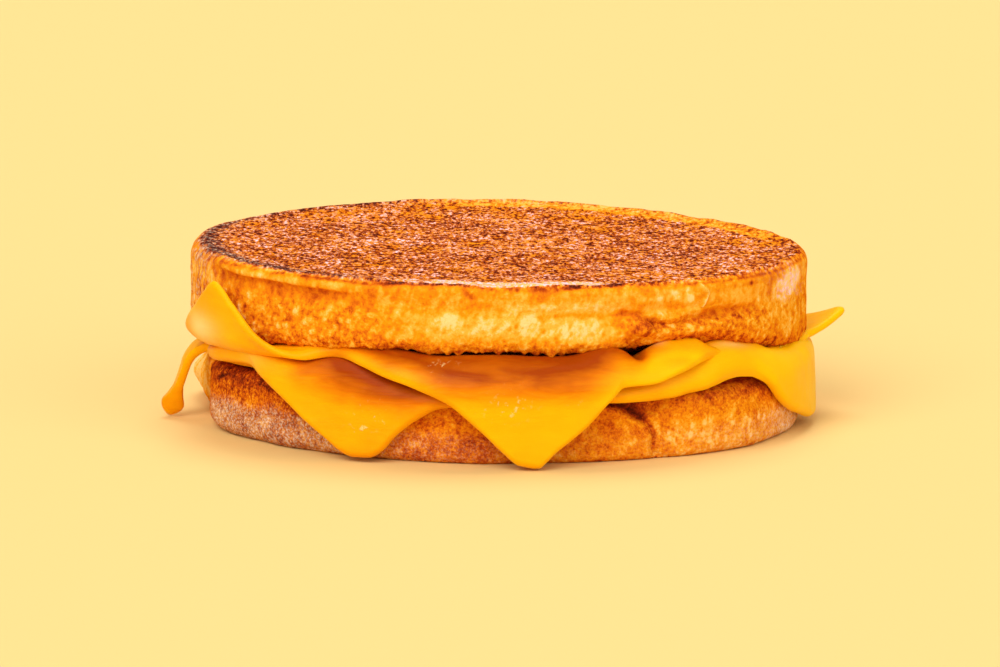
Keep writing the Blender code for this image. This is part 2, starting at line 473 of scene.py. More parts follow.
@dataclass(frozen=True)
class Cheese:
    """A slice of cheese that lies flat and bends down, or up, where it passes the bread's edge."""

    support: Bread
    level: float
    stand_off: Stations
    run: Stations
    hang: Stations
    bend: Stations
    lift: Stations
    corners: tuple[Corner, ...]
    fullness: Stations = ((0.0, 1.0), (180.0, 1.0))
    THICKNESS: ClassVar[float] = 2.3 * MM
    BEND: ClassVar[float] = 2.6 * MM
    RIM_SHARE: ClassVar[float] = 0.25
    HANG_SHARE: ClassVar[float] = 0.75
    LIFTED_SHARE: ClassVar[float] = 0.24

    def edge(self, azimuth: Field) -> Field:
        """Distance from the middle at which the slice starts to bend."""
        return self.support.outline(azimuth) + around(azimuth, self.stand_off) + self.THICKNESS / 2 - self.BEND

    def reach(self, azimuth: Field) -> Field:
        """How far the slice runs past the start of its bend.

        Args:
            azimuth: The azimuths at which it is wanted.

        Returns:
            The run at each azimuth.
        """
        run = follow(azimuth, self.run)
        for corner in self.corners:
            run = run + (corner.tip_run - run) * corner.share(azimuth)
        return run

    def swelling(self, azimuth: Field, past: Field) -> Field:
        """How thick the slice has become, as a share of its thickness.

        Args:
            azimuth: Azimuth of each place.
            past: How far it lies beyond the start of the bend.

        Returns:
            The share, above 1 in the beads at the ends of strands.
        """
        return around(azimuth, self.fullness) + sum(corner.swelling(azimuth, past) for corner in self.corners)

    def drape(self, azimuth: Field, past: Field, offset: Field) -> Field:
        """Bend points of the flat slice over the bread's edge.

        Args:
            azimuth: Azimuth of each point.
            past: How far it lies beyond the start of the bend, or short of it where it is negative.
            offset: Its height above the middle of the slice's thickness.

        Returns:
            The points in space.
        """
        bend = around(azimuth, self.bend)
        edge = self.edge(azimuth)
        hang = np.radians(around(azimuth, self.hang))
        beyond = np.maximum(past, 0.0)
        angle = np.minimum(beyond / bend, np.abs(hang))
        straight = beyond - angle * bend
        way = np.copysign(1.0, hang)
        radius = edge + np.minimum(past, 0.0) + bend * np.sin(angle) + straight * np.cos(angle)
        radius = radius + way * offset * np.sin(angle)
        drop = bend * (1.0 - np.cos(angle)) + straight * np.sin(angle)
        lift = around(azimuth, self.lift) * smooth(1.0 + past / (self.LIFTED_SHARE * edge))
        height = self.level + lift - way * drop + offset * np.cos(angle)
        direction = np.radians(azimuth)
        return np.stack([radius * np.cos(direction), radius * np.sin(direction), height], axis=1)

    def surface(self, azimuth: Field, way: Field) -> tuple[Field, Field, Field]:
        """Places on the slice's surface.

        Args:
            azimuth: Azimuth of each place.
            way: Way of each place from the underside's middle (-1) over the edge (0) to the top's (1).

        Returns:
            The points, how far each is past the start of the bend, and how far short of the tip.
        """
        run = self.reach(azimuth)
        half = self.THICKNESS / 2
        share = np.abs(way)
        rounding = share_between(share, 0.0, self.RIM_SHARE) * math.pi / 2
        hanging = share_between(share, self.RIM_SHARE, self.HANG_SHARE)
        inward = share_between(share, self.HANG_SHARE, 1.0)
        past = run - half * (1.0 - np.cos(rounding))
        past = past - (run - half + self.BEND) * hanging
        past = past - (self.edge(azimuth) - self.BEND) * inward
        offset = np.copysign(half * self.swelling(azimuth, past) * np.sin(rounding), way)
        return self.drape(azimuth, past, offset), past, run - past


BOTTOM_BREAD = Bread(
    half_width=54.4 * MM,
    half_depth=49.2 * MM,
    centre_x=0.0,
    base=0.0,
    base_tilt=0.0,
    base_sag=0.0,
    thickness=11.8 * MM,
    thinning=0.0,
    dish=0.0,
    fullness=((45, 2.1), (150, 2.5), (225, 2), (270, 2), (322, 2.35)),
    lower_rim=in_mm((0, 1.6), (180, 2.4), (225, 2.4), (270, 1.6)),
    upper_rim=in_mm((0, 2.4), (180, 2.4)),
    crown=in_mm((180, 0.4), (215, 1.2), (255, 0), (360, 0)),
    bumps=(
        Touch(163, 0.44, 10, 0.30, 4.6 * MM),
        Touch(148, 0.26, 17, 0.40, 1.6 * MM),
        Touch(184, 0.40, 5.5, 0.45, -1.8 * MM),
        Touch(201, 0.35, 9, 0.35, 1 * MM),
        Touch(301, 0.76, 4.5, 0.24, -1.7 * MM),
        Touch(305, 0.36, 3.5, 0.24, -0.9 * MM),
        Touch(322, 0.42, 11, 0.32, 0.6 * MM),
        Touch(228, 0.60, 4.5, 0.30, -0.5 * MM),
    ),
)

LOWER_LEVEL = BOTTOM_BREAD.thickness + GAP + Cheese.THICKNESS / 2
UPPER_LEVEL = LOWER_LEVEL + GAP + Cheese.THICKNESS
SECOND_LAYER = Cheese.THICKNESS + 2 * GAP
TOP_SAG = 1.2 * MM

TOP_BREAD = Bread(
    half_width=56.6 * MM,
    half_depth=50.2 * MM,
    centre_x=-0.9 * MM,
    base=UPPER_LEVEL + Cheese.THICKNESS / 2 + GAP + TOP_SAG,
    base_tilt=-0.006,
    base_sag=TOP_SAG,
    thickness=14.6 * MM - TOP_SAG,
    thinning=-0.014,
    dish=0.9 * MM,
    fullness=((45, 1.75), (135, 1.85), (225, 2.1), (315, 2)),
    lower_rim=in_mm((0, 2.2), (180, 2.2)),
    upper_rim=in_mm((0, 2), (90, 1.5), (180, 3.2), (240, 1.4)),
    crown=in_mm((0, 0), (180, 0)),
    bumps=(
        Touch(315, 0.28, 20, 0.22, 0.9 * MM),
        Touch(308, 0.62, 26, 0.10, -0.8 * MM),
        Touch(235, 0.70, 30, 0.12, -0.7 * MM),
        Touch(299, 0.36, 5, 0.20, 0.8 * MM),
    ),
)

LOWER_CHEESE = Cheese(
    support=BOTTOM_BREAD,
    level=LOWER_LEVEL,
    stand_off=((18, GAP), (187, GAP), (205, 3.6 * MM), (220, 3.2 * MM), (238, GAP), (350, GAP)),
    run=in_mm(
        (20, 1.5), (110, 1.5), (200, 0.6), (211, 0.9), (216, 1.5), (219, 2.6), (223, 4.1), (226, 5.8),
        (231, 9.5), (234.5, 11.7), (238, 13.8), (240, 14.3), (243.5, 14.1), (246, 12.6), (248.5, 9.8),
        (253, 6.5), (257, 4.6), (262, 4), (272, 3.2), (285, 3.4), (299, 4), (303.5, 3.9), (307.5, 3.3),
        (311, 2.9), (315, 2.3), (319, 1.9), (323, 2.1), (326, 3.2), (328, 4.6), (331, 7.4), (336, 10.2),
        (341.5, 12.4), (347, 14.2), (351, 14.6), (354.5, 13.4), (359, 8),
    ),
    hang=((30, 86), (160, 80), (184, 72), (205, 80), (300, 88)),
    bend=((30, Cheese.BEND), (160, Cheese.BEND), (184, 5.2 * MM), (208, Cheese.BEND)),
    lift=in_mm((30, 0), (150, 0), (180, 0.5), (215, 1.2), (255, 0), (328, 0), (348, 1.2)),
    corners=(Corner(66, 14 * MM, 19, 19), Corner(184, 16.8 * MM, 6, 6.5, bead=1.25)),
    fullness=((165, 1), (184, 0.55), (200, 1)),
)

UPPER_CHEESE = Cheese(
    support=BOTTOM_BREAD,
    level=UPPER_LEVEL,
    stand_off=((0, SECOND_LAYER), (187, 2.4 * MM), (209, 3.9 * MM), (245, SECOND_LAYER)),
    run=in_mm(
        (20, 1), (110, 1), (184, 0.6), (190, 2.2), (195, 5), (202, 8.5), (206, 11.4), (209, 13.4),
        (211, 12.4), (214, 9.8), (219, 6.2), (224, 3.6), (229, 1.5), (235, -0.6), (241.5, 1.1), (247, 2.6),
        (252, 3.6), (256, 4.6), (260, 6), (263, 8.1), (266, 10.7), (270, 14.3), (272.8, 16.3), (276.5, 16.9),
        (278.2, 15.7), (279, 14.9), (281, 13.4), (285, 10.4), (290, 5.7), (293, 3.4), (299, 3), (302.5, 2.3),
        (306.5, 1.2), (310, -0.2), (315, -1.8), (330, -2.4), (345, -2.2), (352, 0),
    ),
    hang=((3, -26), (60, 40), (120, 40), (178, -80), (214, -88), (234, 15), (262, 85), (300, 85), (335, 45)),
    bend=((0, Cheese.BEND), (180, Cheese.BEND)),
    lift=in_mm((0, 0), (160, 0.3), (205, 1.5), (238, 1.5), (265, 0), (325, 0), (345, -0.8)),
    corners=(Corner(2, 7.6 * MM, 9, 9), Corner(97, 6 * MM, 20, 20)),
    fullness=(
        (12, 0.6), (40, 1), (190, 0.7), (212, 0.5), (244, 0.45), (262, 1), (288, 1), (299, 0.35), (335, 0.4),
        (352, 0.6),
    ),
)


# ---- shader graphs


class Graph:
    """The node tree of one material."""

    def __init__(self, name: str) -> None:
        """Start an empty material.

        Args:
            name: The material's name.
        """
        self.material = bpy.data.materials.new(name)
        self.material.use_nodes = True
        self.tree = self.material.node_tree
        self.tree.nodes.clear()

    def node(
        self, kind: str, settings: dict[str, Any], inputs: dict[Any, Any], output: int | str = 0
    ) -> Signal:
        """Add a node.

        Args:
            kind: The node's type.
            settings: What is set on the node itself; stops are a colour ramp's places and colours.
            inputs: The value or the signal of each input, by its name or number.
            output: The output that is wanted.

        Returns:
            That output as a signal.
        """
        node = self.tree.nodes.new(kind)
        for name, value in settings.items():
            if name == "stops":
                elements = node.color_ramp.elements
                while len(elements) < len(value):
                    elements.new(0.5)
                for element, (place, colour) in zip(elements, value):
                    element.position = place
                    element.color = (*colour, 1.0)
            else:
                setattr(node, name, value)
        for name, value in inputs.items():
            if isinstance(value, Signal):
                self.tree.links.new(value.socket, node.inputs[name])
            else:
                node.inputs[name].default_value = value
        return Signal(self, node.outputs[output])

    def attribute(self, name: str) -> Signal:
        """Number that the mesh carries at each vertex."""
        return self.node("ShaderNodeAttribute", {"attribute_name": name}, {}, "Fac")

    def place(self, stretch: Colour = (1.0, 1.0, 1.0)) -> Signal:
        """Object coordinates.

        Args:
            stretch: Factor by which each axis is multiplied.

        Returns:
            The coordinates as a vector.
        """
        here = self.node("ShaderNodeTexCoord", {}, {}, "Object")
        if stretch == (1.0, 1.0, 1.0):
            return here
        return self.node("ShaderNodeVectorMath", {"operation": "MULTIPLY"}, {0: here, 1: stretch})

    def noise(
        self,
        size: float,
        detail: float = 2.0,
        roughness: float = 0.5,
        distortion: float = 0.0,
        stretch: Colour = (1.0, 1.0, 1.0),
    ) -> Signal:
        """Cloudy pattern between 0 and 1.

        Args:
            size: Size of its clouds in metres.
            detail: How many finer layers it has.
            roughness: How strong the finer layers are.
            distortion: How much the pattern is warped.
            stretch: Factor on each axis, below 1 for longer clouds.

        Returns:
            The pattern.
        """
        inputs = {
            "Vector": self.place(stretch),
            "Scale": 1.0 / size,
            "Detail": detail,
            "Roughness": roughness,
            "Distortion": distortion,
        }
        return self.node("ShaderNodeTexNoise", {}, inputs, "Fac")

    def ramp(self, value: Signal, stops: tuple[tuple[float, Colour], ...]) -> Signal:
        """Colour for each value, read off a ramp."""
        return self.node("ShaderNodeValToRGB", {"stops": stops}, {0: value}, "Color")

    def mix(self, share: Signal | float, first: Any, second: Any) -> Signal:
        """Mix two colours.

        Args:
            share: How much of the second colour is used.
            first: A colour or a signal.
            second: A colour or a signal.

        Returns:
            The mixed colour.
        """
        values = {0: share, 6: self.opaque(first), 7: self.opaque(second)}
        return self.node("ShaderNodeMix", {"data_type": "RGBA"}, values, 2)

    @staticmethod
    def opaque(colour: Any) -> Any:
        """A plain colour with an alpha of 1, or the signal as it is."""
        return colour if isinstance(colour, Signal) else (*colour, 1.0)

    def bump(self, height: Signal, depth: float, strength: float = 1.0, under: Signal | None = None) -> Signal:
        """Normals of a relief.

        Args:
            height: The relief, between 0 and 1.
            depth: The depth in metres from 0 to 1.
            strength: How much of it shows.
            under: Normals of a coarser relief that it lies on.

        Returns:
            The normals.
        """
        inputs: dict[Any, Any] = {"Strength": strength, "Distance": depth, "Height": height}
        if under is not None:
            inputs["Normal"] = under
        return self.node("ShaderNodeBump", {}, inputs)

    def close(self, inputs: dict[str, Any]) -> bpy.types.Material:
        """Feed the shader and finish the material.

        Args:
            inputs: Values and signals of the shader's sockets.

        Returns:
            The material.
        """
        shader = self.node("ShaderNodeBsdfPrincipled", {}, inputs)
        end = self.tree.nodes.new("ShaderNodeOutputMaterial")
        self.tree.links.new(shader.socket, end.inputs["Surface"])
        return self.material


class Operation(Enum):
    """What a Math node does, by Blender's names."""

    ADD = "ADD"
    SUBTRACT = "SUBTRACT"
    MULTIPLY = "MULTIPLY"
    MAXIMUM = "MAXIMUM"


@dataclass(frozen=True)
class Signal:
    """An output of a node; arithmetic on it adds Math nodes."""

    graph: Graph
    socket: bpy.types.NodeSocket

    def join(
        self, operation: Operation, other: Signal | float, swapped: bool = False, clamp: bool = False
    ) -> Signal:
        """Join two values with a Math node.

        Args:
            operation: What is done with them.
            other: The other value.
            swapped: True if the other value comes first.
            clamp: True if the result is kept between 0 and 1.

        Returns:
            The result.
        """
        values = (other, self) if swapped else (self, other)
        settings = {"operation": operation.value, "use_clamp": clamp}
        return self.graph.node("ShaderNodeMath", settings, dict(enumerate(values)))

    def __add__(self, other: Signal | float) -> Signal:
        """Sum."""
        return self.join(Operation.ADD, other)

    def __radd__(self, other: float) -> Signal:
        """Sum with a plain number first."""
        return self.join(Operation.ADD, other)

    def __sub__(self, other: Signal | float) -> Signal:
        """Difference."""
        return self.join(Operation.SUBTRACT, other)

    def __rsub__(self, other: float) -> Signal:
        """Difference from a plain number."""
        return self.join(Operation.SUBTRACT, other, swapped=True)

    def __mul__(self, other: Signal | float) -> Signal:
        """Product."""
        return self.join(Operation.MULTIPLY, other)

    def __rmul__(self, other: float) -> Signal:
        """Product with a plain number first."""
        return self.join(Operation.MULTIPLY, other)

    def clamp(self) -> Signal:
        """The value kept between 0 and 1."""
        return self.join(Operation.ADD, 0.0, clamp=True)

    def span(self, start: float, end: float) -> Signal:
        """Smooth step.

        Args:
            start: Value at which it leaves 0.
            end: Value at which it reaches 1.

        Returns:
            The step, between 0 and 1.
        """
        settings = {"interpolation_type": "SMOOTHSTEP"}
        inputs = {"Value": self, "From Min": start, "From Max": end}
        return self.graph.node("ShaderNodeMapRange", settings, inputs)


# ---- finishes


@dataclass(frozen=True)
class BreadFinish:
    """Toasted bread: a tone that runs from cream to nearly black, speckled by its crumb and by painted glints.

    The mesh carries tone (0 cream, 1 burnt), a dust-and-glint share (how dusty the browning is, and where painted
    glints and the painted rim highlight lie), ash (how grey it is), fleck (how strongly it is speckled) and wet (how
    buttery it is).
    """

    name: str
    fleck_size: float
    mottle_size: float
    mottle: float
    depth: float
    stretch: Colour = (1.0, 1.0, 1.0)
    TONES: ClassVar[tuple[tuple[float, Colour], ...]] = (
        (0.00, (1.00, 0.72, 0.34)),
        (0.14, (0.98, 0.52, 0.070)),
        (0.30, (0.90, 0.335, 0.006)),
        (0.46, (0.76, 0.190, 0.007)),
        (0.62, (0.49, 0.071, 0.006)),
        (0.80, (0.23, 0.027, 0.006)),
        (1.00, (0.08, 0.011, 0.005)),
    )
    # Dusty browning; its pink-white light end also serves as painted glints and the painted rim highlight.
    DUST_AND_GLINT_TONES: ClassVar[tuple[tuple[float, Colour], ...]] = (
        (0.00, (0.98, 0.69, 0.84)),
        (0.22, (0.88, 0.39, 0.23)),
        (0.45, (0.62, 0.155, 0.040)),
        (0.70, (0.34, 0.070, 0.030)),
        (1.00, (0.14, 0.024, 0.016)),
    )
    ASHEN: ClassVar[tuple[tuple[float, Colour], ...]] = (
        (0.00, (0.92, 0.68, 0.56)),
        (0.30, (0.62, 0.38, 0.27)),
        (0.60, (0.28, 0.15, 0.11)),
        (1.00, (0.06, 0.028, 0.026)),
    )

    def make(self) -> bpy.types.Material:
        """Build the material.

        Returns:
            The material.
        """
        graph = Graph(self.name)
        tone, pink, ash = (graph.attribute(name) for name in ("tone", "pink", "ash"))
        fleck, wet = graph.attribute("fleck"), graph.attribute("wet")
        fine = graph.noise(self.fleck_size, 3.0, 0.7, stretch=self.stretch)
        broad = graph.noise(self.mottle_size, 3.0, 0.6, 0.4)
        # Light specks: dusty crumbs, and on the face painted glints.
        spark = graph.noise(self.fleck_size * 0.83, 2.0, 0.6, 0.3, self.stretch).span(0.47, 0.60)
        shown = (tone + (0.5 - fine) * fleck * 4.6 + (0.5 - broad) * (fleck + 0.35) * self.mottle).clamp()
        dust = (pink * (spark * 1.35 + 0.15)).clamp()
        dusty = graph.ramp((shown - spark * fleck * 0.30).clamp(), self.DUST_AND_GLINT_TONES)
        colour = graph.mix(dust, graph.ramp(shown.join(Operation.MAXIMUM, fleck * 0.47), self.TONES), dusty)
        ashen = graph.ramp((shown - (spark - 0.4) * 0.35).clamp(), self.ASHEN)
        colour = graph.mix((ash * (spark * 0.9 + 0.45)).clamp(), colour, ashen)
        relief = graph.bump(fine, 0.7 * MM * self.depth)
        return graph.close(
            {
                "Base Color": colour,
                "Roughness": 0.8,
                "Specular IOR Level": 0.0,
                "Coat Weight": wet,
                "Coat Roughness": 0.28,
                "Coat IOR": 1.4,
                "Normal": relief,
            }
        )


@dataclass(frozen=True)
class CheeseFinish:
    """Melted cheese: satiny, a little translucent, deeper in colour where it is thick, and darker where shade is
    painted into it.

    The mesh carries the depth of colour (0 bright yellow, 1 orange-brown), which holds both the cheese's own orange
    and painted shade, a paleness that holds painted highlights, and places roughened by small bubble marks that
    carry painted glints.
    """

    name: str
    # Yellow to orange-brown; its darker end is the painted shade under the bread.
    DEPTH_AND_SHADE_COLOURS: ClassVar[tuple[tuple[float, Colour], ...]] = (
        (0.00, (0.98, 0.55, 0.001)),
        (0.20, (0.96, 0.43, 0.001)),
        (0.45, (0.84, 0.31, 0.001)),
        (0.72, (0.67, 0.165, 0.001)),
        (1.00, (0.37, 0.052, 0.001)),
    )

    def make(self) -> bpy.types.Material:
        """Build the material.

        Returns:
            The material.
        """
        graph = Graph(self.name)
        # The depth of colour read here holds painted shade as well as the cheese's own orange.
        deep, pale = graph.attribute("deep"), graph.attribute("pale")
        clouds = graph.noise(9.0 * MM, 3.0, 0.5)
        wrinkles = graph.noise(2.4 * MM, 3.0, 0.6, 0.5, (0.20, 0.20, 1.0))
        creased = (deep * 2.6 - 0.2).clamp()
        shown = (deep + (clouds - 0.5) * 0.22 + (wrinkles - 0.5) * (creased * 0.48 + 0.06)).clamp()
        # Small bubbles: a bump, with painted glints on their tops.
        glinting_bubbles = graph.noise(1.0 * MM, 2.0, 0.6).span(0.58, 0.74) * graph.attribute("blister")
        # Paleness and bubble glints mix in a light yellow: painted highlights and painted glints.
        colour = graph.mix((pale + glinting_bubbles * 0.8).clamp(), graph.ramp(shown, self.DEPTH_AND_SHADE_COLOURS), (1.0, 0.76, 0.32))
        skin = graph.bump(graph.noise(1.6 * MM, 3.0, 0.55), 0.10 * MM, 0.5)
        skin = graph.bump(wrinkles * (creased * 0.8 + 0.2), 0.45 * MM, 0.7, skin)
        skin = graph.bump(glinting_bubbles, 0.20 * MM, 0.6, skin)
        return graph.close(
            {
                "Base Color": colour,
                "Roughness": 0.30 + graph.noise(4.0 * MM, 2.0) * 0.16,
                "Specular IOR Level": 0.06,
                "Subsurface Weight": 0.22,
                "Subsurface Radius": (0.7, 0.4, 0.1),
                "Subsurface Scale": 1.4 * MM,
                "Normal": skin,
            }
        )


# ---- pieces


@dataclass(frozen=True)
class Rows:
    """How a sphere's rows are shared out between the parts of a layer."""

    counts: tuple[int, ...]
    ways: tuple[float, ...]

    def total(self) -> int:
        """Number of rows from pole to pole."""
        return sum(self.counts)

    def way(self, row: Field) -> Field:
        """Way from underside to face at each row."""
        return np.interp(row, np.cumsum((0, *self.counts)), self.ways)


class Reading(Enum):
    """What can be read of a mesh's vertices, by Blender's names."""

    PLACE = "co"
    NORMAL = "normal"


@dataclass
class Piece:
    """A layer of the sandwich made as one closed mesh."""

    name: str
    node: str
    slot: str
    columns: int
    rows: Rows
    crowding: float = 0.30
    mesh: bpy.types.Mesh = field(init=False)
    azimuth: Field = field(init=False)
    way: Field = field(init=False)
    place: Field = field(init=False)

    def start(self) -> None:
        """Close a grid into a ball, and read the azimuth and way of each of its vertices.

        The columns stand closer together at the front than at the back.
        """
        ball = bmesh.new()
        bmesh.ops.create_grid(ball, x_segments=self.columns, y_segments=self.rows.total(), size=1.0)
        for vertex in ball.verts:
            longitude, latitude = vertex.co.x * math.pi, vertex.co.y * math.pi / 2
            level = math.cos(latitude)
            vertex.co = (level * math.cos(longitude), level * math.sin(longitude), math.sin(latitude))
        rim = [vertex for vertex in ball.verts if vertex.is_boundary]
        bmesh.ops.remove_doubles(ball, verts=rim, dist=1e-5)
        self.mesh = bpy.data.meshes.new(self.name)
        ball.to_mesh(self.mesh)
        ball.free()
        x, y, z = self.read(Reading.PLACE).T
        longitude = np.arctan2(y, x)
        latitude = np.arctan2(z, np.hypot(x, y))
        self.azimuth = np.degrees(longitude - self.crowding * np.cos(longitude)) % 360.0
        self.way = self.rows.way((latitude / math.pi + 0.5) * self.rows.total())

    def read(self, what: Reading) -> Field:
        """Places or normals of the mesh's vertices.

        Args:
            what: Which of them.

        Returns:
            One vector for each vertex.
        """
        values = np.zeros(len(self.mesh.vertices) * 3, np.float32)
        self.mesh.vertices.foreach_get(what.value, values)
        return values.reshape(-1, 3).astype(float)

    def write(self, place: Field) -> None:
        """Move the mesh's vertices.

        Args:
            place: Their new places.
        """
        self.place = place
        self.mesh.vertices.foreach_set("co", place.astype(np.float32).ravel())
        self.mesh.update()

    def push(self, amount: Field) -> None:
        """Move each vertex along its normal."""
        self.write(self.place + self.read(Reading.NORMAL) * amount[:, None])

    def paint(self, name: str, value: Field) -> None:
        """Give each vertex a number between 0 and 1 that the material reads."""
        layer = self.mesh.attributes.new(name, "FLOAT", "POINT")
        layer.data.foreach_set("value", np.clip(value, 0.0, 1.0).astype(np.float32))

    def finish(self, material: bpy.types.Material) -> bpy.types.Object:
        """Show the piece in place of its CAD node.

        Args:
            material: The piece's material.

        Returns:
            The finished object.
        """
        self.mesh.shade_smooth()
        self.mesh.materials.append(material)
        shown = bpy.data.objects.new(self.name, self.mesh)
        bpy.context.scene.collection.objects.link(shown)
        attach(shown, BODY)
        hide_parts(self.node)
        LOG.info("%s: %d faces", self.name, len(self.mesh.polygons))
        return shown


BREAD_ROWS = Rows((20, 10, 22, 22, 11, 16, 33), (-1.0, -0.63, -0.26, 0.0, 0.26, 0.63, 0.672, 1.0))
CHEESE_ROWS = Rows((24, 28, 8, 8, 44, 26), (-1.0, -0.75, -0.25, 0.0, 0.25, 0.75, 1.0))

TOP_FOLD = ((295.6, 0.62), (299.4, 0.60), (301.6, 0.50), (302, 0.34))
TOP_CRACK = ((312.2, 0.95), (314.2, 0.82), (313, 0.66))
TOP_NOTCH = ((263.2, 0.95), (264.6, 0.84))
LEFT_CRACK = ((202.5, 1), (202.2, 0.86), (199.2, 0.78))
SHORT_CRACK = ((214.2, 0.83), (214.8, 0.97))
PALE_RIDGE = ((221, 0.72), (222.5, 0.92))


@dataclass
class BreadSlice(Piece):
    """What the two slices of bread have in common: a face, an underside and a crumbly wall.

    Swells push the wall out by metres. Tone marks brown it, and some of them paint shade into cracks, folds and
    creases or a highlight onto a ridge. The stations of both slices pair azimuths with strengths.
    """

    columns: int = 720
    rows: Rows = BREAD_ROWS
    shape: Bread = BOTTOM_BREAD
    seed: int = 23
    face_way: Span = (0.50, 0.66)
    under_way: Span = (0.46, 0.64)
    swell_size: float = 12 * MM
    swells: Marks = ()
    tones_and_painted_light: Marks = ()
    even: Field = field(init=False)
    height: Field = field(init=False)
    reach: Field = field(init=False)
    grain: Grain = field(init=False)
    face: Field = field(init=False)
    under: Field = field(init=False)
    wall: Field = field(init=False)
    crumb: Field = field(init=False)
    swell: Field = field(init=False)

    def settle(self) -> None:
        """Shape the slice, and tell its face, underside and wall apart."""
        self.start()
        self.even, self.height, self.reach = self.shape.surface(self.azimuth, self.way)
        self.write(self.even)
        self.grain = Grain(self.seed)
        self.face = ease(self.way, *self.face_way)
        self.under = ease(-self.way, *self.under_way)
        self.wall = 1.0 - np.maximum(self.face, self.under)
        self.crumb = self.grain.waves(self.even, 2.0 * MM, 3, 0.65)
        self.swell = self.grain.waves(self.even, self.swell_size, 2)

    def around(self, stations: Stations) -> Field:
        """Blend smoothly between stations set round the slice."""
        return around(self.azimuth, stations)

    def marks(self, marks: Marks) -> Field:
        """Sum of several marks on the slice's side."""
        return together(marks, self.azimuth, self.height)

    def below(self, start: float, end: float) -> Field:
        """Smooth step from 1 at the lower height to 0 at the upper one."""
        return 1.0 - ease(self.height, start, end)


